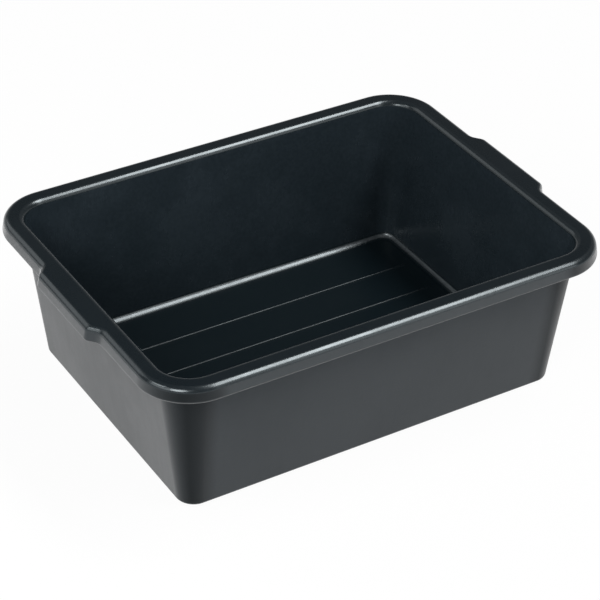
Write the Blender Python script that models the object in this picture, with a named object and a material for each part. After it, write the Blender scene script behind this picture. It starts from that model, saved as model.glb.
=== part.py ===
"""Mortar mixing tub: a drafted rectangular pan with a rolled rim, two end grips and floor ribs.

Metres, +Z up, +X along the length. The origin is the middle of the underside. The real tub is one
moulding. Here it is divided where its forms change: the pan, the rim's two long sides, the two grips
and the ribs on the floor.
"""

import math
from typing import NamedTuple

import bmesh
import bpy
from mathutils import Vector

# Overall sizes
OVERALL_LENGTH = 0.526  # over the two grips
OVERALL_WIDTH = 0.382  # over the rim's long sides
HEIGHT = 0.165  # underside to the top of the rim

# Pan: floor and four drafted walls
BASE_LENGTH = 0.4285  # outer wall faces, produced down to the underside
BASE_WIDTH = 0.309
BASE_CORNER = 0.019  # outer corner radius at the underside
TIGHTEST_CORNER = 0.002  # least radius of the inner corners
WALL = 0.003  # thickness, measured level
FLOOR = 0.003
BASE_ROUND = 0.004  # outer edge between wall and underside
FLOOR_ROUND = 0.0075  # inner edge between wall and floor

# Rolled rim
RIM_BAND = 0.0225  # level width from the rim's outermost line to the mouth
RIM_CORNER = 0.055  # outermost corner radius
RIM_SKIRT = 0.016  # depth from the rim's top to the skirt's lower edge
RIM_WALL = 0.003
SKIRT_FLARE = math.radians(10)  # the skirt leans out towards its lower edge
SHOULDER_ROUND = 0.0065  # outer edge between the rim's top and its skirt
MOUTH_ROUND = 0.0065  # inner edge between the rim's top and the wall
UNDER_ROUND = 0.0035  # hollow edge between the rim's underside and the wall
RIM_LEG = 0.005  # straight inner leg below the mouth's round, standing on the wall

# Grips: the rim bulges outwards in the middle of each end
GRIP_REACH = 0.009
GRIP_STRAIGHT = 0.096  # length of the straight outer edge
GRIP_OUTER_ROUND = 0.007  # where the bulge leaves its straight edge
GRIP_INNER_ROUND = 0.015  # where it runs back into the rim
GRIP_STEEPEST = math.radians(39)  # slope of the ramp between the two rounds
GRIP_TAIL = 0.003  # plain rim carried on each end of a grip

# Floor ribs, in a pair on each side of the middle line
RIB_PITCH = 0.0497  # between the ribs of a pair
RIB_MIDDLE_GAP = 0.081  # between the two inner ribs
RIB_WIDTH = 0.0026
RIB_HEIGHT = 0.0014
RIB_END_GAP = 0.010  # from a rib's end to the floor's rounded edge
RIB_TAPER = 0.004  # length over which an end is drawn in
RIB_TIP = 0.3  # share of the section left at the very end

# Clearance left between neighbouring pieces
SEAM_GAP = 0.0003

# Facets of round stretches
CORNER_STEPS = 10
ROUND_STEPS = 4

SHARP_ANGLE = math.radians(35)
PLASTIC_COLOUR = (0.016, 0.019, 0.022, 1.0)
PLASTIC_ROUGHNESS = 0.42

# Sizes that follow from those above
RIM_LENGTH = OVERALL_LENGTH - 2 * GRIP_REACH
SEAM_HEIGHT = HEIGHT - MOUTH_ROUND - RIM_LEG
LIP_ROUND = RIM_WALL
LIP_HEIGHT = HEIGHT - RIM_SKIRT + LIP_ROUND
LENGTH_LEAN = (RIM_LENGTH / 2 - RIM_BAND + WALL - BASE_LENGTH / 2) / HEIGHT
WIDTH_LEAN = (OVERALL_WIDTH / 2 - RIM_BAND + WALL - BASE_WIDTH / 2) / HEIGHT
CORNER_LEAN = (RIM_CORNER - RIM_BAND + WALL - BASE_CORNER) / HEIGHT
DRAFT = math.atan((LENGTH_LEAN + WIDTH_LEAN) / 2)


class Station(NamedTuple):
    """A level outline: a rounded rectangle at a height, and how far it bulges out at the grips."""

    half_length: float
    half_width: float
    corner: float
    z: float
    bulge: float


def wall_station(inset, z):
    """The wall's outer face at height z, moved inwards by inset."""
    return Station(
        BASE_LENGTH / 2 + z * LENGTH_LEAN - inset,
        BASE_WIDTH / 2 + z * WIDTH_LEAN - inset,
        max(BASE_CORNER + z * CORNER_LEAN - inset, TIGHTEST_CORNER),
        z,
        0.0,
    )


def rim_station(inset, z):
    """The rim's outermost line, moved inwards by inset, at height z."""
    return Station(
        RIM_LENGTH / 2 - inset,
        OVERALL_WIDTH / 2 - inset,
        max(RIM_CORNER - inset, TIGHTEST_CORNER),
        z,
        GRIP_REACH,
    )


def skirt_station(inset, z):
    """The skirt's leaning outer face at height z, moved inwards by inset. It runs smoothly into the lip."""
    start = LIP_ROUND * (1 - math.cos(SKIRT_FLARE))
    rise = z - LIP_HEIGHT - LIP_ROUND * math.sin(SKIRT_FLARE)
    return rim_station(inset + start + rise * math.tan(SKIRT_FLARE), z)


def spread(start, end, steps):
    return [start + (end - start) * i / steps for i in range(steps + 1)]


def edge_round(radius, lean):
    """Rounds the edge between a level face and one that leans away from it.

    Gives (retreat from the leaning face, distance from the level face), leaning face first.
    """
    corner = radius * (1 / math.cos(lean) - math.tan(lean))
    points = []
    for turn in spread(lean, math.pi / 2, ROUND_STEPS):
        distance = radius * (1 - math.sin(turn))
        points.append((corner + distance * math.tan(lean) - radius * math.cos(turn), distance))
    return points


def floor_edge():
    """The round between inner wall and floor, from the wall down to the floor."""
    return [wall_station(WALL + retreat, FLOOR + rise) for retreat, rise in edge_round(FLOOR_ROUND, DRAFT)]


def pan_stations():
    """From the floor up the inside, over the seam and down the outside to the underside."""
    outside = [wall_station(retreat, rise) for retreat, rise in edge_round(BASE_ROUND, DRAFT)]
    seam = [wall_station(WALL, SEAM_HEIGHT), wall_station(0, SEAM_HEIGHT)]
    return [*reversed(floor_edge()), *seam, *outside]


def lip_stations():
    """The round along the skirt's lower edge, from its outer face to the foot of its inner one."""
    turns = [-SKIRT_FLARE, *spread(0, math.pi / 2, ROUND_STEPS)]
    return [rim_station(LIP_ROUND * (1 - math.cos(t)), LIP_HEIGHT - LIP_ROUND * math.sin(t)) for t in turns]


def rim_stations():
    """Round the rim's hooked section: up the mouth, over the top, down the skirt and back underneath."""
    mouth_edge = edge_round(MOUTH_ROUND, DRAFT)
    shoulder_edge = edge_round(SHOULDER_ROUND, SKIRT_FLARE)
    under_edge = edge_round(UNDER_ROUND, DRAFT)
    underside = HEIGHT - RIM_WALL
    leg_foot = SEAM_HEIGHT + SEAM_GAP
    return [
        wall_station(WALL, leg_foot),
        *[wall_station(WALL - retreat, HEIGHT - drop) for retreat, drop in mouth_edge],
        *[skirt_station(retreat, HEIGHT - drop) for retreat, drop in reversed(shoulder_edge)],
        *lip_stations(),
        skirt_station(RIM_WALL, underside),
        *[wall_station(-retreat, underside - drop) for retreat, drop in reversed(under_edge)],
        wall_station(0, leg_foot),
    ]


def corner_arc(station, sign_x, sign_y, start):
    """A quarter turn of the outline, anticlockwise from the angle start."""
    middle = Vector((
        sign_x * (station.half_length - station.corner),
        sign_y * (station.half_width - station.corner),
        station.z,
    ))
    turns = spread(start, start + math.pi / 2, CORNER_STEPS)
    return [middle + station.corner * Vector((math.cos(turn), math.sin(turn), 0)) for turn in turns]


def whole_outline(station):
    points = []
    for quarter, (sign_x, sign_y) in enumerate(((1, 1), (-1, 1), (-1, -1), (1, -1))):
        points += corner_arc(station, sign_x, sign_y, quarter * math.pi / 2)
    return points


def grip_plan():
    """(y, share of the bulge) along one half of a grip, from its straight edge to plain rim."""
    both_rounds = GRIP_OUTER_ROUND + GRIP_INNER_ROUND
    # A shallow bulge is all round, without a ramp between.
    slope = min(GRIP_STEEPEST, math.acos(max(0, 1 - GRIP_REACH / both_rounds)))
    ramp = (GRIP_REACH - both_rounds * (1 - math.cos(slope))) / math.tan(slope)
    foot = GRIP_STRAIGHT / 2 + both_rounds * math.sin(slope) + ramp
    points = []
    for turn in spread(0, slope, ROUND_STEPS):
        fall = GRIP_OUTER_ROUND * (1 - math.cos(turn))
        points.append((GRIP_STRAIGHT / 2 + GRIP_OUTER_ROUND * math.sin(turn), 1 - fall / GRIP_REACH))
    for turn in spread(slope, 0, ROUND_STEPS):
        rise = GRIP_INNER_ROUND * (1 - math.cos(turn))
        points.append((foot - GRIP_INNER_ROUND * math.sin(turn), rise / GRIP_REACH))
    points.append((foot + GRIP_TAIL, 0.0))
    return points


def grip_outline(station):
    """The bulged stretch of the outline at the +X end, from -Y to +Y."""
    half = [Vector((station.half_length + share * station.bulge, y, station.z)) for y, share in grip_plan()]
    other_half = [Vector((point.x, -point.y, point.z)) for point in reversed(half)]
    return other_half + half


def long_side_outline(station):
    """The +Y long side of the outline with its two corners, up to the grips' ends."""
    end_y = grip_plan()[-1][0] + SEAM_GAP
    corners = corner_arc(station, 1, 1, 0) + corner_arc(station, -1, 1, math.pi / 2)
    return [
        Vector((station.half_length, end_y, station.z)),
        *corners,
        Vector((-station.half_length, end_y, station.z)),
    ]


def rib_outlines(y):
    """Sections of a low half-round bead along the floor, drawn in at each end."""
    half = floor_edge()[-1].half_length - RIB_END_GAP
    full = half - RIB_TAPER
    crown = RIB_HEIGHT - SEAM_GAP
    outlines = []
    for x, size in ((-half, RIB_TIP), (-full, 1), (full, 1), (half, RIB_TIP)):
        outline = []
        for turn in spread(0, math.pi, 2 * ROUND_STEPS):
            across = size * RIB_WIDTH / 2 * math.cos(turn)
            up = size * crown * math.sin(turn)
            outline.append(Vector((x, y + across, FLOOR + SEAM_GAP + up)))
        outlines.append(outline)
    return outlines


def mirrored(rows, sign_x, sign_y):
    return [[Vector((point.x * sign_x, point.y * sign_y, point.z)) for point in row] for row in rows]


def plastic(name):
    material = bpy.data.materials.new(name)
    material.use_nodes = True
    shader = material.node_tree.nodes["Principled BSDF"]
    shader.inputs["Base Color"].default_value = PLASTIC_COLOUR
    shader.inputs["Roughness"].default_value = PLASTIC_ROUGHNESS
    shader.inputs["Metallic"].default_value = 0.0
    return material


def add_solid(name, rows, closed_rows):
    """A solid skinned over rows of points. Either each row closes on itself, or the last meets the first."""
    skin = bmesh.new()
    grid = [[skin.verts.new(point) for point in row] for row in rows]
    if closed_rows:
        caps = [grid[0], grid[-1]]
        grid = [[*row, row[0]] for row in grid]
    else:
        caps = [[row[0] for row in grid], [row[-1] for row in grid]]
        grid = [*grid, grid[0]]
    for row, following in zip(grid, grid[1:]):
        for i in range(len(row) - 1):
            skin.faces.new((row[i], row[i + 1], following[i + 1], following[i]))
    for cap in caps:
        skin.faces.new(cap)
    bmesh.ops.recalc_face_normals(skin, faces=skin.faces)
    mesh = bpy.data.meshes.new(name)
    skin.to_mesh(mesh)
    skin.free()
    mesh.shade_smooth()
    mesh.set_sharp_from_angle(angle=SHARP_ANGLE)
    mesh.materials.append(plastic(name))
    bpy.context.scene.collection.objects.link(bpy.data.objects.new(name, mesh))


def build():
    for old in list(bpy.data.objects):
        bpy.data.objects.remove(old)
    add_solid("pan", [whole_outline(station) for station in pan_stations()], True)
    side = [long_side_outline(station) for station in rim_stations()]
    add_solid("rim_back", side, False)
    add_solid("rim_front", mirrored(side, 1, -1), False)
    grip = [grip_outline(station) for station in rim_stations()]
    add_solid("grip_right", grip, False)
    add_solid("grip_left", mirrored(grip, -1, 1), False)
    inner = RIB_MIDDLE_GAP / 2
    outer = inner + RIB_PITCH
    for number, y in enumerate((-outer, -inner, inner, outer), start=1):
        add_solid(f"floor_rib_{number}", rib_outlines(y), True)


build()
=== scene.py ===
"""Looks for the mortar mixing tub.

Fine moulded forms, black plastic, a white floor and soft studio light. Sizes are in metres, in the
frame's own axes: +X along the length, +Y to the back, +Z up.
"""

import math
from typing import NamedTuple

import bmesh
import bpy
from mathutils import Matrix, Vector


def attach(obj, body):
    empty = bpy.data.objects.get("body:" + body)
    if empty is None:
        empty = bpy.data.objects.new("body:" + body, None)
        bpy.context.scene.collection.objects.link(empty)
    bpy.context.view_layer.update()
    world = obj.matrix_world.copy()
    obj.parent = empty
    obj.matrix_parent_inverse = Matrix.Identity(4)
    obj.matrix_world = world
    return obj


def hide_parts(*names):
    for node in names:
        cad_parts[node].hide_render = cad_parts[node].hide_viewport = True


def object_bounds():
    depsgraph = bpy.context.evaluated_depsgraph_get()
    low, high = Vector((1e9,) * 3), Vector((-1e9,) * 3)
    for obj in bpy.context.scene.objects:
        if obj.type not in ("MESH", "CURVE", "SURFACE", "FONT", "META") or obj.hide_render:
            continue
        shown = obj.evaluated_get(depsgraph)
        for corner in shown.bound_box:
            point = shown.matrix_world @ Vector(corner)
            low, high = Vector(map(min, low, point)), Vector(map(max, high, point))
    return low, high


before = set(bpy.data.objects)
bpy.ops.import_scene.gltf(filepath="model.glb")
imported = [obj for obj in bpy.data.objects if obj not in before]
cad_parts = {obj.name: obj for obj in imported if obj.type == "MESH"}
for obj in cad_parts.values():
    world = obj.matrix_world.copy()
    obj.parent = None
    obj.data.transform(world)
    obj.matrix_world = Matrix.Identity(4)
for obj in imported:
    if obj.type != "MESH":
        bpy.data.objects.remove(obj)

cad_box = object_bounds()

# Overall sizes come from the frame
LOWEST, HIGHEST = cad_box
OVERALL_LENGTH = HIGHEST.x - LOWEST.x
OVERALL_WIDTH = HIGHEST.y - LOWEST.y
HEIGHT = HIGHEST.z - LOWEST.z
MIDDLE = (LOWEST + HIGHEST) / 2

# Pan
BASE_LENGTH = 0.4285
BASE_WIDTH = 0.309
BASE_CORNER = 0.019
TIGHTEST_CORNER = 0.002
WALL = 0.003
FLOOR = 0.003
BASE_ROUND = 0.004
FLOOR_ROUND = 0.0075

# Rolled rim
RIM_BAND = 0.0225
RIM_CORNER = 0.055
RIM_SKIRT = 0.016
RIM_WALL = 0.003
SKIRT_FLARE = math.radians(10)
SHOULDER_ROUND = 0.0065
MOUTH_ROUND = 0.0065
UNDER_ROUND = 0.0035
RIM_LEG = 0.005

# Grips
GRIP_REACH = 0.009
GRIP_STRAIGHT = 0.096
GRIP_OUTER_ROUND = 0.007
GRIP_INNER_ROUND = 0.015
GRIP_STEEPEST = math.radians(39)
GRIP_TAIL = 0.003

# Floor ribs
RIB_PITCH = 0.0497
RIB_MIDDLE_GAP = 0.081
RIB_WIDTH = 0.0026
RIB_HEIGHT = 0.0014
RIB_END_GAP = 0.010
RIB_TAPER = 0.004
RIB_TIP = 0.25  # how blunt a rib's tip is, in facet steps of its nose
RIB_SINK = 0.00005  # a rib's foot goes this far into the floor

# Mark left by the moulding gate in the middle of the underside
GATE_RADIUS = 0.008
GATE_DEPTH = 0.0006
NUB_RADIUS = 0.0022
NUB_TIP_RADIUS = 0.00176
NUB_HEIGHT = 0.0004

# The frame's seams are closed here, because the real tub is one moulding
SEAM_GAP = 0.0003

# Facets
CORNER_STEPS = 32
ROUND_STEPS = 12
FACE_STEPS = 5
RIB_END_STEPS = 6
REACH_STEPS = 4
SHARP_ANGLE = math.radians(40)
FLAT_FACE_WEIGHT = 100

# Bloom and gloss fade round the corners of the outer walls and of the rim's skirt, and this far
# along the long sides, which paints shade in the corners. The darkest place is this share of the
# way round a corner from its end wall.
PAINTED_CORNER_SHADE_REACH = 0.014
PAINTED_CORNER_SHADE_DARKEST = 0.6

# Sizes that follow from those above
RIM_LENGTH = OVERALL_LENGTH - 2 * GRIP_REACH
SEAM_HEIGHT = HEIGHT - MOUTH_ROUND - RIM_LEG + SEAM_GAP
LIP_ROUND = RIM_WALL
LIP_HEIGHT = HEIGHT - RIM_SKIRT + LIP_ROUND
LENGTH_LEAN = (RIM_LENGTH / 2 - RIM_BAND + WALL - BASE_LENGTH / 2) / HEIGHT
WIDTH_LEAN = (OVERALL_WIDTH / 2 - RIM_BAND + WALL - BASE_WIDTH / 2) / HEIGHT
CORNER_LEAN = (RIM_CORNER - RIM_BAND + WALL - BASE_CORNER) / HEIGHT
DRAFT = math.atan((LENGTH_LEAN + WIDTH_LEAN) / 2)

# Surface detail: noise scales, then depths, colours and shares
CLOUD_SCALE = 11
STREAK_SCALE = 4
STREAK_STRETCH = (30, 30, 5)
SPECK_SCALE = 420
MOTTLE_SCALE = 260
GRAIN_SCALE = 950
MOTTLE_RELIEF = 0.8
SMOOTH_GRAIN = 0.0000012
COARSE_GRAIN = 0.00004
RUBBED_COLOUR = (0.05, 0.054, 0.056, 1)
RUBBED_SHARE = 0.12
# Dust in the round at the floor's edge, pale enough to paint the glow of light reflected there too
DUST_AND_PAINTED_GLOW_COLOUR = (0.062, 0.071, 0.077, 1)
# Haze on the inner walls thins to this share at the floor, which paints shade low down
HAZE_LOW_DOWN_PAINTED_SHADE = 0.6
THINNEST_HAZE = 0.7
LEAST_MOTTLE = 0.75
ROUGHNESS_SWING = 0.03
RIB_WEAR = 0.15
SHEEN_ROUGHNESS = 0.4
PLASTIC_IOR = 1.5

# Spans over which an effect comes or goes, each measured on what its name ends in
LEVEL_BY_NORMAL = (0.4, 0.9)
WALL_BY_NORMAL = (0.3, 0.6)
UNDERNEATH_BY_NORMAL = (-0.9, -0.5)
RUBBED_BY_WEAR = (0, 0.5)
HAZE_BY_WEAR = (0, 0.6)
DUST_AND_GLOW_BY_WEAR = (0.7, 1)
DUST_AND_GLOW_BY_HEIGHT = (FLOOR + FLOOR_ROUND, FLOOR + 2 * FLOOR_ROUND)
BLOOM_BY_UNSHADED_SHARE = (0.15, 0.95)
CLOUDS_BY_NOISE = (0.35, 0.7)
STREAKS_BY_NOISE = (0.3, 0.7)
SPECKS_BY_NOISE = (0.5, 0.72)
MOTTLE_BY_NOISE = (0.3, 0.7)

# Camera
LENS = 135.241
SENSOR = 36.0
AZIMUTH = math.radians(-31.901)
ELEVATION = math.radians(34.614)
ROLL = math.radians(1.3432)
DISTANCE = 2.28238
AIM_RIGHT = 0.002730
AIM_UP = -0.005346

# Studio
FLOOR_SIZE = 24.0
FLOOR_DROP = 0.0002
FLOOR_WHITE = 0.9
FLOOR_GLOW = 0.95
SKY_HORIZON = 0.8
SKY_TOP = 0.18
SKY_BY_HEIGHT = (0.03, 0.2)


class Station(NamedTuple):
    """A rounded rectangle at a height, with how far it bulges at the grips and its wear."""

    half_length: float
    half_width: float
    corner: float
    z: float
    bulge: float
    wear: float


def wall_station(inset, z, wear=0.0):
    return Station(
        BASE_LENGTH / 2 + z * LENGTH_LEAN - inset,
        BASE_WIDTH / 2 + z * WIDTH_LEAN - inset,
        max(BASE_CORNER + z * CORNER_LEAN - inset, TIGHTEST_CORNER),
        z,
        0.0,
        wear,
    )


def rim_station(inset, z, wear=0.0):
    return Station(
        RIM_LENGTH / 2 - inset,
        OVERALL_WIDTH / 2 - inset,
        max(RIM_CORNER - inset, TIGHTEST_CORNER),
        z,
        GRIP_REACH,
        wear,
    )


def skirt_station(inset, z, wear=0.0):
    # The face runs into the lip's round without an edge
    start = LIP_ROUND * (1 - math.cos(SKIRT_FLARE))
    rise = z - LIP_HEIGHT - LIP_ROUND * math.sin(SKIRT_FLARE)
    return rim_station(inset + start + rise * math.tan(SKIRT_FLARE), z, wear)


def spread(start, end, steps):
    return [start + (end - start) * i / steps for i in range(steps + 1)]


def between(first, last):
    """Stations evenly spaced between two others, without them."""
    shares = spread(0, 1, FACE_STEPS)[1:-1]
    return [Station(*[a + (b - a) * share for a, b in zip(first, last)]) for share in shares]


def edge_round(radius, lean):
    """Points round the edge between a leaning face and a level one, leaning face first.

    Each is its retreat from the leaning face, its distance from the level face, and how near it is
    to the edge's middle.
    """
    corner = radius * (1 / math.cos(lean) - math.tan(lean))
    points = []
    for share in spread(0, 1, ROUND_STEPS):
        turn = lean + (math.pi / 2 - lean) * share
        distance = radius * (1 - math.sin(turn))
        retreat = corner + distance * math.tan(lean) - radius * math.cos(turn)
        points.append((retreat, distance, math.sin(math.pi * share)))
    return points


def floor_edge():
    edge = edge_round(FLOOR_ROUND, DRAFT)
    return [wall_station(WALL + a, FLOOR + b, near) for a, b, near in edge]


def pan_stations():
    """The inside from the floor up to the seam, and the outside from there to the underside."""
    inside = list(reversed(floor_edge()))
    seam_inside = wall_station(WALL, SEAM_HEIGHT)
    seam_outside = wall_station(0, SEAM_HEIGHT)
    outside = [wall_station(a, b, near) for a, b, near in edge_round(BASE_ROUND, DRAFT)]
    inner = [*inside, *between(inside[-1], seam_inside), seam_inside]
    outer = [seam_outside, *between(seam_outside, outside[0]), *outside]
    return inner, outer


def rim_stations():
    """The rim's hooked section: up the mouth, over the top, down the skirt and back underneath."""
    edge = edge_round(MOUTH_ROUND, DRAFT)
    mouth = [wall_station(WALL - a, HEIGHT - b, near) for a, b, near in edge]
    edge = reversed(edge_round(SHOULDER_ROUND, SKIRT_FLARE))
    shoulder = [skirt_station(a, HEIGHT - b, near) for a, b, near in edge]
    lip = []
    for turn in [-SKIRT_FLARE, *spread(0, math.pi / 2, ROUND_STEPS)]:
        inset = LIP_ROUND * (1 - math.cos(turn))
        z = LIP_HEIGHT - LIP_ROUND * math.sin(turn)
        lip.append(rim_station(inset, z, max(0.0, math.sin(2 * turn))))
    underside = HEIGHT - RIM_WALL
    edge = reversed(edge_round(UNDER_ROUND, DRAFT))
    under = [wall_station(-a, underside - b) for a, b, _ in edge]
    return [
        wall_station(WALL, SEAM_HEIGHT),
        *mouth,
        *between(mouth[-1], shoulder[0]),
        *shoulder,
        *between(shoulder[-1], lip[0]),
        *lip,
        skirt_station(RIM_WALL, underside),
        *under,
        wall_station(0, SEAM_HEIGHT),
    ]


def corner_arc(station, sign_x, sign_y, start):
    middle = Vector((
        sign_x * (station.half_length - station.corner),
        sign_y * (station.half_width - station.corner),
        station.z,
    ))
    turns = spread(start, start + math.pi / 2, CORNER_STEPS)
    return [middle + station.corner * Vector((math.cos(turn), math.sin(turn), 0)) for turn in turns]


def half_outline(station, sign):
    """The long side at the back, or at the front for a sign of -1, with its two corners."""
    start = 0 if sign > 0 else math.pi
    tangent = station.half_length - station.corner
    beside = [tangent - step for step in spread(0, PAINTED_CORNER_SHADE_REACH, REACH_STEPS)[1:]]
    along = beside + [-x for x in reversed(beside)]
    return [
        *corner_arc(station, sign, sign, start),
        *[Vector((sign * x, sign * station.half_width, station.z)) for x in along],
        *corner_arc(station, -sign, sign, start + math.pi / 2),
    ]


def half_unshaded_shares():
    """How flat the wall looks at each point of a half outline, from 0 to 1, which sets how much
    shade is painted there.
    """
    corner = spread(0, 1, CORNER_STEPS)
    beside = [1 + share for share in spread(0, 1, REACH_STEPS)[1:]]
    quarter = []
    for place in corner + beside:
        if place < PAINTED_CORNER_SHADE_DARKEST:
            quarter.append(1 - place / PAINTED_CORNER_SHADE_DARKEST)
        else:
            quarter.append((place - PAINTED_CORNER_SHADE_DARKEST) / (2 - PAINTED_CORNER_SHADE_DARKEST))
    return quarter + list(reversed(quarter))


def grip_plan():
    """Half a grip seen from above: each point's y, and its share of the grip's reach."""
    both_rounds = GRIP_OUTER_ROUND + GRIP_INNER_ROUND
    slope = min(GRIP_STEEPEST, math.acos(max(0, 1 - GRIP_REACH / both_rounds)))
    ramp = (GRIP_REACH - both_rounds * (1 - math.cos(slope))) / math.tan(slope)
    foot = GRIP_STRAIGHT / 2 + both_rounds * math.sin(slope) + ramp
    points = []
    for turn in spread(0, slope, ROUND_STEPS):
        fall = GRIP_OUTER_ROUND * (1 - math.cos(turn))
        y = GRIP_STRAIGHT / 2 + GRIP_OUTER_ROUND * math.sin(turn)
        points.append((y, 1 - fall / GRIP_REACH))
    for turn in spread(slope, 0, ROUND_STEPS):
        rise = GRIP_INNER_ROUND * (1 - math.cos(turn))
        y = foot - GRIP_INNER_ROUND * math.sin(turn)
        points.append((y, rise / GRIP_REACH))
    points.append((foot + GRIP_TAIL, 0.0))
    return points


def grip_outline(station):
    half = []
    for y, share in grip_plan():
        half.append(Vector((station.half_length + share * station.bulge, y, station.z)))
    other_half = [Vector((point.x, -point.y, point.z)) for point in reversed(half)]
    return other_half + half


def long_side_outline(station):
    end_y = grip_plan()[-1][0]
    first = Vector((station.half_length, end_y, station.z))
    last = Vector((-station.half_length, end_y, station.z))
    return [first, *half_outline(station, 1), last]


def circle(radius, z, count):
    turns = [2 * math.pi * (i + 0.5) / count for i in range(count)]
    return [Vector((radius * math.cos(turn), radius * math.sin(turn), z)) for turn in turns]


def rib_outlines(y):
    """Sections of a low bead along the floor, drawn in to a round nose at each end."""
    half = floor_edge()[-1].half_length - RIB_END_GAP
    full = half - RIB_TAPER
    ends = []
    for turn in spread(0, math.pi / 2, RIB_END_STEPS)[:-1]:
        ends.append((full + RIB_TAPER * math.sin(turn), math.cos(turn)))
    ends.append((half, math.cos(math.pi / 2 * (1 - RIB_TIP / RIB_END_STEPS))))
    sections = [(-x, size) for x, size in reversed(ends)] + ends
    outlines = []
    for x, size in sections:
        outline = []
        for turn in spread(0, math.pi, 2 * ROUND_STEPS):
            across = size * RIB_WIDTH / 2 * math.cos(turn)
            up = size * RIB_HEIGHT * math.sin(turn)
            outline.append(Vector((x, y + across, FLOOR - RIB_SINK + up)))
        outlines.append(outline)
    return outlines


def mirrored(rows, sign_x, sign_y):
    return [
        [Vector((point.x * sign_x, point.y * sign_y, point.z)) for point in row] for row in rows
    ]


def skinned_mesh(name, rows, wear, closed_rows, slots, unshaded_shares):
    """A closed mesh over rows of points, with a wear and a material slot for each row.

    Either each row closes on itself, or the last row meets the first.
    """
    skin = bmesh.new()
    wear_layer = skin.verts.layers.float.new("wear")
    unshaded_layer = skin.verts.layers.float.new("unshaded_share")
    grid = []
    for row, amount in zip(rows, wear):
        line = []
        for point, unshaded_share in zip(row, unshaded_shares or [1.0] * len(row)):
            vertex = skin.verts.new(point)
            vertex[wear_layer] = amount
            vertex[unshaded_layer] = unshaded_share
            line.append(vertex)
        grid.append(line)
    if closed_rows:
        caps = [grid[0], grid[-1]]
        grid = [[*line, line[0]] for line in grid]
    else:
        caps = [[line[0] for line in grid], [line[-1] for line in grid]]
        grid = [*grid, grid[0]]
    for line, following, slot in zip(grid, grid[1:], slots):
        for i in range(len(line) - 1):
            face = skin.faces.new((line[i], line[i + 1], following[i + 1], following[i]))
            face.material_index = slot
    for cap, slot in zip(caps, (slots[0], slots[-1])):
        if closed_rows and len(cap) % 2 == 0:
            # Quads straight across the outline's two mirrored halves
            half = len(cap) // 2
            other = list(reversed(cap[half:]))
            for i in range(half - 1):
                face = skin.faces.new((cap[i], cap[i + 1], other[i + 1], other[i]))
                face.material_index = slot
        else:
            skin.faces.new(cap).material_index = slot
    bmesh.ops.recalc_face_normals(skin, faces=skin.faces)
    mesh = bpy.data.meshes.new(name)
    skin.to_mesh(mesh)
    skin.free()
    mesh.shade_smooth()
    mesh.set_sharp_from_angle(angle=SHARP_ANGLE)
    return mesh


def add_piece(name, rows, wear, closed_rows, materials, slots, unshaded_shares=None):
    mesh = skinned_mesh(name, rows, wear, closed_rows, slots, unshaded_shares)
    for material in materials:
        mesh.materials.append(material)
    piece = bpy.data.objects.new(name + "_moulding", mesh)
    bpy.context.scene.collection.objects.link(piece)
    # Rounds take up all the turning, so that the flat faces beside them shade flat
    normals = piece.modifiers.new("flat_faces", "WEIGHTED_NORMAL")
    normals.mode = "FACE_AREA"
    normals.weight = FLAT_FACE_WEIGHT
    normals.keep_sharp = True
    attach(piece, "root")
    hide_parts(name)


class Nodes:
    """Adds nodes to a node tree, each with its settings and inputs."""

    def __init__(self, tree):
        self.tree = tree

    def add(self, kind, inputs=None, **settings):
        node = self.tree.nodes.new(kind)
        for key, value in settings.items():
            setattr(node, key, value)
        for key, value in (inputs or {}).items():
            self.feed(node.inputs[key], value)
        return node

    def feed(self, socket, value):
        if isinstance(value, bpy.types.NodeSocket):
            self.tree.links.new(value, socket)
        else:
            socket.default_value = value

    def noise(self, where, scale, detail, roughness, distortion=0.0):
        inputs = {"Vector": where, "Scale": scale, "Detail": detail, "Roughness": roughness}
        inputs["Distortion"] = distortion
        return self.add("ShaderNodeTexNoise", inputs).outputs["Fac"]

    def ranged(self, value, low, high, to_low, to_high, ease="SMOOTHSTEP"):
        inputs = {"Value": value, "From Min": low, "From Max": high}
        inputs.update({"To Min": to_low, "To Max": to_high})
        return self.add("ShaderNodeMapRange", inputs, interpolation_type=ease).outputs["Result"]

    def maths(self, operation, first, second):
        node = self.add("ShaderNodeMath", {0: first, 1: second}, operation=operation)
        return node.outputs["Value"]

    def product(self, first, *others):
        for other in others:
            first = self.maths("MULTIPLY", first, other)
        return first

    def blend(self, share, first, second):
        node = self.add("ShaderNodeMix", data_type="RGBA")
        values = {"Factor_Float": share, "A_Color": first, "B_Color": second}
        for socket in node.inputs:
            if socket.identifier in values:
                self.feed(socket, values[socket.identifier])
        return next(socket for socket in node.outputs if socket.identifier == "Result_Color")

    def height_of(self, vector):
        return self.add("ShaderNodeSeparateXYZ", {0: vector}).outputs["Z"]

    def attribute(self, name):
        return self.add("ShaderNodeAttribute", attribute_name=name).outputs["Fac"]


class Finish(NamedTuple):
    """How one kind of moulded surface looks."""

    name: str
    dark: tuple
    pale: tuple
    bloom: tuple
    bloom_share: float
    hazy_walls: bool
    roughness: float
    level_roughness: float
    round_roughness: float
    specular: float
    level_specular: float
    # gloss left in the corners of the walls, lowered there to paint shade
    corner_specular: float
    round_specular: float
    gloss_tint: tuple
    sheen: float
    grain_depth: float


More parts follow.
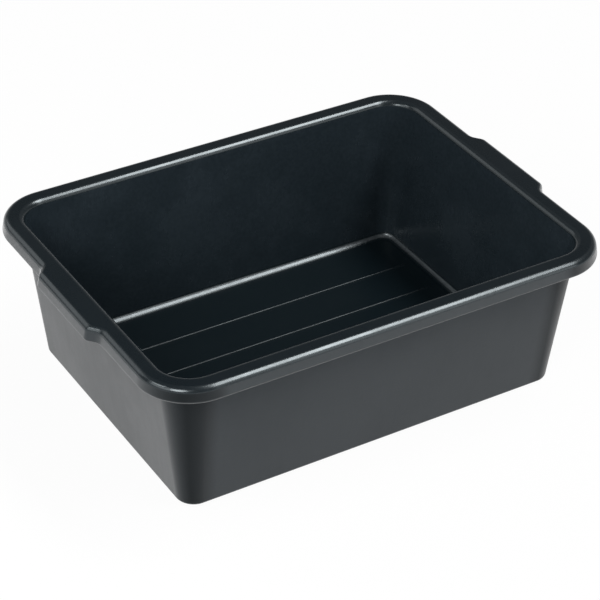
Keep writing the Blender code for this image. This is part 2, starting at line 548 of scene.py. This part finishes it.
RIM_FINISH = Finish(
    name="satin_black_plastic",
    dark=(0.0016, 0.0052, 0.0080, 1),
    pale=(0.0026, 0.0064, 0.0092, 1),
    bloom=(0.0050, 0.0092, 0.0122, 1),
    bloom_share=0.3,
    hazy_walls=False,
    roughness=0.36,
    level_roughness=0.30,
    round_roughness=0.25,
    specular=0.45,
    level_specular=0.36,
    corner_specular=0.36,
    round_specular=0.94,
    gloss_tint=(0.88, 0.97, 1.0, 1),
    sheen=0.0,
    grain_depth=SMOOTH_GRAIN,
)
INSIDE_FINISH = Finish(
    name="hazy_black_plastic",
    dark=(0.0048, 0.0092, 0.0119, 1),
    pale=(0.0057, 0.0103, 0.0130, 1),
    bloom=(0.0290, 0.0405, 0.0500, 1),
    bloom_share=1.0,
    hazy_walls=True,
    roughness=0.26,
    level_roughness=0.32,
    round_roughness=0.25,
    specular=0.48,
    level_specular=0.06,
    corner_specular=0.25,
    round_specular=0.76,
    gloss_tint=(0.88, 0.97, 1.0, 1),
    sheen=0.0,
    grain_depth=SMOOTH_GRAIN,
)
OUTSIDE_FINISH = Finish(
    name="matte_black_plastic",
    dark=(0.0052, 0.0075, 0.0088, 1),
    pale=(0.0070, 0.0092, 0.0104, 1),
    bloom=(0.0108, 0.0130, 0.0144, 1),
    bloom_share=0.9,
    hazy_walls=False,
    roughness=0.46,
    level_roughness=0.46,
    round_roughness=0.40,
    specular=0.35,
    level_specular=0.35,
    # Gloss nearly gone in the corners: painted shade
    corner_specular=0.06,
    round_specular=0.35,
    gloss_tint=(0.70, 0.86, 1.0, 1),
    sheen=0.44,
    grain_depth=COARSE_GRAIN,
)
SKIRT_FINISH = OUTSIDE_FINISH._replace(
    name="rim_skirt_black_plastic",
    roughness=0.44,
    level_roughness=0.44,
    round_roughness=0.60,
    specular=0.62,
    level_specular=0.62,
    round_specular=0.62,
    gloss_tint=(0.80, 0.92, 1.0, 1),
    sheen=1.0,
)
UNDER_RIM_FINISH = SKIRT_FINISH._replace(
    name="under_rim_black_plastic",
    specular=0.4,
    level_specular=0.4,
    corner_specular=0.4,
    round_specular=0.4,
    sheen=0.55,
)


def moulded_plastic(finish):
    material = bpy.data.materials.new(finish.name)
    material.use_nodes = True
    shader = material.node_tree.nodes["Principled BSDF"]
    nodes = Nodes(material.node_tree)
    place = nodes.add("ShaderNodeTexCoord")
    where = place.outputs["Object"]
    upward = nodes.height_of(place.outputs["Normal"])
    wear = nodes.attribute("wear")
    # Painted shade: this share falls in the corners of the walls, but never on faces turned down
    underneath = nodes.ranged(upward, *UNDERNEATH_BY_NORMAL, 1, 0)
    unshaded_share = nodes.maths("MAXIMUM", nodes.attribute("unshaded_share"), underneath)

    # Cloudy patches, faint flow streaks down the walls, fine specks and a mottle
    clouds = nodes.noise(where, CLOUD_SCALE, detail=5, roughness=0.6)
    clouds = nodes.ranged(clouds, *CLOUDS_BY_NOISE, 0, 1)
    stretched = nodes.add("ShaderNodeMapping", {"Vector": where, "Scale": STREAK_STRETCH})
    stretched = stretched.outputs["Vector"]
    streaks = nodes.noise(stretched, STREAK_SCALE, detail=3, roughness=0.6, distortion=0.3)
    specks = nodes.noise(where, SPECK_SCALE, detail=2, roughness=0.6)
    mottle = nodes.noise(where, MOTTLE_SCALE, detail=3, roughness=0.55)
    mottled = nodes.ranged(mottle, *MOTTLE_BY_NOISE, LEAST_MOTTLE, 1.0)

    colour = nodes.blend(clouds, finish.dark, finish.pale)
    if finish.hazy_walls:
        # Haze lies on the walls and grows paler towards the top, which paints light on the walls
        # and shade low down.
        # Dust settles in the round at the floor's edge and also paints the glow of light reflected
        # there
        height = nodes.height_of(where)
        most = finish.bloom_share
        haze_with_painted_light = nodes.product(
            nodes.ranged(height, 0, HEIGHT, HAZE_LOW_DOWN_PAINTED_SHADE * most, most),
            nodes.ranged(clouds, 0, 1, THINNEST_HAZE, 1.0),
            nodes.ranged(wear, *HAZE_BY_WEAR, 1, 0),
            nodes.ranged(upward, *WALL_BY_NORMAL, 1, 0),
            mottled,
        )
        # Dust in the floor's round, which also paints a glow of reflected light along it
        dust_and_painted_glow = nodes.product(
            nodes.ranged(height, *DUST_AND_GLOW_BY_HEIGHT, 1, 0),
            nodes.ranged(wear, *DUST_AND_GLOW_BY_WEAR, 0, 1),
            mottled,
        )
        colour = nodes.blend(haze_with_painted_light, colour, finish.bloom)
        colour = nodes.blend(dust_and_painted_glow, colour, DUST_AND_PAINTED_GLOW_COLOUR)
    else:
        # Dull bloom lies on the flats and fades in the corners, which paints shade there
        bloom = nodes.ranged(unshaded_share, *BLOOM_BY_UNSHADED_SHARE, 0.0, finish.bloom_share)
        colour = nodes.blend(nodes.product(bloom, mottled), colour, finish.bloom)
    # The rounds are rubbed bright in specks
    rubbed = nodes.product(wear, nodes.ranged(specks, *SPECKS_BY_NOISE, 0.0, RUBBED_SHARE))
    nodes.feed(shader.inputs["Base Color"], nodes.blend(rubbed, colour, RUBBED_COLOUR))

    roughness = nodes.ranged(upward, *LEVEL_BY_NORMAL, finish.roughness, finish.level_roughness)
    roughness = nodes.ranged(wear, *RUBBED_BY_WEAR, roughness, finish.round_roughness, "LINEAR")
    patchy = nodes.ranged(clouds, 0, 1, -ROUGHNESS_SWING, ROUGHNESS_SWING)
    streaky = nodes.ranged(streaks, *STREAKS_BY_NOISE, -ROUGHNESS_SWING / 2, ROUGHNESS_SWING / 2)
    roughness = nodes.maths("ADD", roughness, nodes.maths("ADD", patchy, streaky))
    nodes.feed(shader.inputs["Roughness"], roughness)

    # Rounds have a gloss of their own, and the walls lose theirs in the corners, which paints shade
    # there
    shader.inputs["Specular IOR Level"].default_value = finish.specular
    levels = (finish.level_specular, finish.corner_specular, finish.round_specular)
    if any(level != finish.specular for level in levels):
        gloss = nodes.ranged(upward, *LEVEL_BY_NORMAL, finish.specular, finish.level_specular)
        gloss = nodes.ranged(unshaded_share, 0, 1, finish.corner_specular, gloss, "LINEAR")
        gloss = nodes.ranged(wear, *RUBBED_BY_WEAR, gloss, finish.round_specular, "LINEAR")
        nodes.feed(shader.inputs["Specular IOR Level"], gloss)

    grain = nodes.noise(where, GRAIN_SCALE, detail=2, roughness=0.5)
    relief = nodes.maths("ADD", grain, nodes.product(mottle, MOTTLE_RELIEF))
    bump = nodes.add("ShaderNodeBump", {"Height": relief, "Strength": 1.0})
    bump.inputs["Distance"].default_value = finish.grain_depth
    nodes.feed(shader.inputs["Normal"], bump.outputs["Normal"])

    shader.inputs["Metallic"].default_value = 0.0
    shader.inputs["IOR"].default_value = PLASTIC_IOR
    shader.inputs["Specular Tint"].default_value = finish.gloss_tint
    shader.inputs["Sheen Weight"].default_value = finish.sheen
    shader.inputs["Sheen Roughness"].default_value = SHEEN_ROUGHNESS
    return material


def build_pan(inside, outside):
    inner, outer = pan_stations()
    stations = inner + outer
    rows = [half_outline(station, 1) + half_outline(station, -1) for station in stations]
    points = len(rows[0])
    gate = [
        circle(GATE_RADIUS, 0, points),
        circle(GATE_RADIUS - GATE_DEPTH, GATE_DEPTH, points),
        circle(NUB_RADIUS, GATE_DEPTH, points),
        circle(NUB_TIP_RADIUS, GATE_DEPTH - NUB_HEIGHT, points),
    ]
    wear = [station.wear for station in stations] + [0.0] * len(gate)
    slots = [0] * len(inner) + [1] * (len(outer) + len(gate))
    add_piece("pan", rows + gate, wear, True, [inside, outside], slots, 2 * half_unshaded_shares())


def build_rim(satin, inside, skirt, under_rim):
    stations = rim_stations()
    wear = [station.wear for station in stations]
    # The inside's haze ends halfway round the mouth, the skirt's grain starts at the foot of the
    # shoulder, and the finish under the rim starts at the lip
    mouth = ROUND_STEPS // 2 + 1
    lip = next(number for number, station in enumerate(stations) if station.z <= LIP_HEIGHT)
    face = FACE_STEPS + 2
    shoulder = lip - face - mouth
    slots = [1] * mouth + [0] * shoulder + [2] * face + [3] * (len(stations) - lip)
    finishes = [satin, inside, skirt, under_rim]
    side = [long_side_outline(station) for station in stations]
    unshaded_shares = [1.0, *half_unshaded_shares(), 1.0]
    add_piece("rim_back", side, wear, False, finishes, slots, unshaded_shares)
    add_piece("rim_front", mirrored(side, 1, -1), wear, False, finishes, slots, unshaded_shares)
    grip = [grip_outline(station) for station in stations]
    add_piece("grip_right", grip, wear, False, finishes, slots)
    add_piece("grip_left", mirrored(grip, -1, 1), wear, False, finishes, slots)


def build_ribs(inside):
    inner_rib = RIB_MIDDLE_GAP / 2
    outer_rib = inner_rib + RIB_PITCH
    for number, y in enumerate((-outer_rib, -inner_rib, inner_rib, outer_rib), start=1):
        rows = rib_outlines(y)
        wear = [RIB_WEAR] * len(rows)
        add_piece(f"floor_rib_{number}", rows, wear, True, [inside], [0] * len(rows))


def build_tub():
    satin = moulded_plastic(RIM_FINISH)
    inside = moulded_plastic(INSIDE_FINISH)
    outside = moulded_plastic(OUTSIDE_FINISH)
    skirt = moulded_plastic(SKIRT_FINISH)
    under_rim = moulded_plastic(UNDER_RIM_FINISH)
    build_pan(inside, outside)
    build_rim(satin, inside, skirt, under_rim)
    build_ribs(inside)


def add_camera():
    right = Vector((math.cos(AZIMUTH), math.sin(AZIMUTH), 0))
    level = math.cos(ELEVATION)
    back = Vector((math.sin(AZIMUTH) * level, -math.cos(AZIMUTH) * level, math.sin(ELEVATION)))
    up = back.cross(right)
    target = MIDDLE + right * AIM_RIGHT + up * AIM_UP
    data = bpy.data.cameras.new("camera")
    data.lens = LENS
    data.sensor_width = SENSOR
    camera = bpy.data.objects.new("camera", data)
    across = right * math.cos(ROLL) + up * math.sin(ROLL)
    upward = up * math.cos(ROLL) - right * math.sin(ROLL)
    pose = Matrix((across, upward, back)).transposed().to_4x4()
    pose.translation = target + back * DISTANCE
    camera.matrix_world = pose
    bpy.context.scene.collection.objects.link(camera)
    bpy.context.scene.camera = camera


class Softbox(NamedTuple):
    """An oblong area light that faces the middle of the tub."""

    name: str
    direction: tuple
    distance: float
    long_axis: tuple
    length: float
    width: float
    radiance: float


SOFTBOXES = (
    Softbox("key_light", (0.436, -0.2329, 0.8693), 5.0, (0, 0.9659, 0.2588), 3.84, 1.2, 11.0),
    Softbox("fill_light", (-0.64, -0.50, 0.58), 1.8, (0, 0, 1), 0.70, 0.60, 8.0),
    Softbox("corner_light", (-0.68, 0.05, 0.73), 1.8, (0, 1, 0), 0.60, 0.30, 5.0),
    Softbox("front_light", (0.436, -0.78, 0.45), 1.6, (0, 0, 1), 1.04, 0.60, 1.25),
    Softbox("left_light", (-0.88, -0.12, 0.46), 1.6, (0, 1, 0), 0.90, 0.60, 1.6),
    Softbox("back_light", (-0.45, 0.70, 0.55), 1.5, (-0.70, -0.57, 0), 1.0, 0.80, 0.8),
)


def add_softbox(box):
    data = bpy.data.lights.new(box.name, "AREA")
    data.shape = "RECTANGLE"
    data.size = box.width
    data.size_y = box.length
    data.energy = box.radiance * math.pi * box.length * box.width
    away = Vector(box.direction).normalized()
    along = Vector(box.long_axis)
    along = (along - away * along.dot(away)).normalized()
    pose = Matrix((along.cross(away), along, away)).transposed().to_4x4()
    pose.translation = MIDDLE + away * box.distance
    light = bpy.data.objects.new(box.name, data)
    light.matrix_world = pose
    light.visible_camera = False
    bpy.context.scene.collection.objects.link(light)


def white_floor_material():
    material = bpy.data.materials.new("white_floor")
    material.use_nodes = True
    material.node_tree.nodes.clear()
    nodes = Nodes(material.node_tree)
    white = (FLOOR_WHITE, FLOOR_WHITE, FLOOR_WHITE, 1)
    paper = nodes.add("ShaderNodeBsdfDiffuse", {"Color": white}).outputs["BSDF"]
    glow = nodes.add("ShaderNodeEmission", {"Color": (1, 1, 1, 1), "Strength": 1.0})
    path = nodes.add("ShaderNodeLightPath").outputs
    seen = nodes.maths("MAXIMUM", path["Is Camera Ray"], path["Is Glossy Ray"])
    seen = nodes.maths("MAXIMUM", seen, path["Is Transmission Ray"])
    share = nodes.product(seen, FLOOR_GLOW)
    both = nodes.add("ShaderNodeMixShader", {0: share, 1: paper, 2: glow.outputs["Emission"]})
    nodes.add("ShaderNodeOutputMaterial", {"Surface": both.outputs["Shader"]})
    # The glow is for looks alone, and lights nothing
    material.cycles.emission_sampling = "NONE"
    return material


def add_floor():
    mesh = bpy.data.meshes.new("studio_floor")
    half = FLOOR_SIZE / 2
    corners = [(-half, -half), (half, -half), (half, half), (-half, half)]
    mesh.from_pydata([(x, y, -FLOOR_DROP) for x, y in corners], [], [(0, 1, 2, 3)])
    mesh.materials.append(white_floor_material())
    floor = bpy.data.objects.new("studio_floor", mesh)
    bpy.context.scene.collection.objects.link(floor)


def add_world():
    world = bpy.data.worlds.new("studio")
    world.use_nodes = True
    world.node_tree.nodes.clear()
    nodes = Nodes(world.node_tree)
    height = nodes.height_of(nodes.add("ShaderNodeTexCoord").outputs["Generated"])
    level = nodes.ranged(height, *SKY_BY_HEIGHT, SKY_HORIZON, SKY_TOP)
    sky = nodes.add("ShaderNodeBackground", {"Color": (1, 1, 1, 1), "Strength": level})
    nodes.add("ShaderNodeOutputWorld", {"Surface": sky.outputs["Background"]})
    bpy.context.scene.world = world


build_tub()
add_camera()
add_floor()
add_world()
for softbox in SOFTBOXES:
    add_softbox(softbox)
bpy.context.scene.view_settings.view_transform = "Standard"
